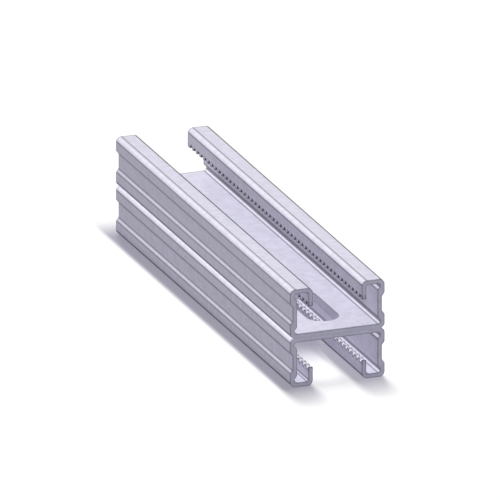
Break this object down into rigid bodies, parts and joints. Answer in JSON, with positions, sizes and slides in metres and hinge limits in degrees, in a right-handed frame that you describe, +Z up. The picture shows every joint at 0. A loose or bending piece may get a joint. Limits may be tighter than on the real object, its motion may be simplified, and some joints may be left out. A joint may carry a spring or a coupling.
{
  "type": "strut channel",
  "caption": "Double strut channel: shallow C channels joined back to back, with toothed inturned lips, pressed side bands and oblong slots along the web.",
  "frame": {"origin": "middle of the lower channel's mouth, on the plane its flanges stand on, half way along the length", "axes": "+X across the width, +Y along the length from the front end to the back end, +Z up from the lower mouth to the upper mouth"},
  "size_m": [0.041, 0.2, 0.042],
  "materials": {
    "upper_steel": "satin galvanised, pale grey",
    "lower_steel": "satin galvanised, pale grey"
  },
  "bodies": {
    "root": {"upper_channel": "upper_steel", "lower_channel": "lower_steel"}
  },
  "joints": []
}
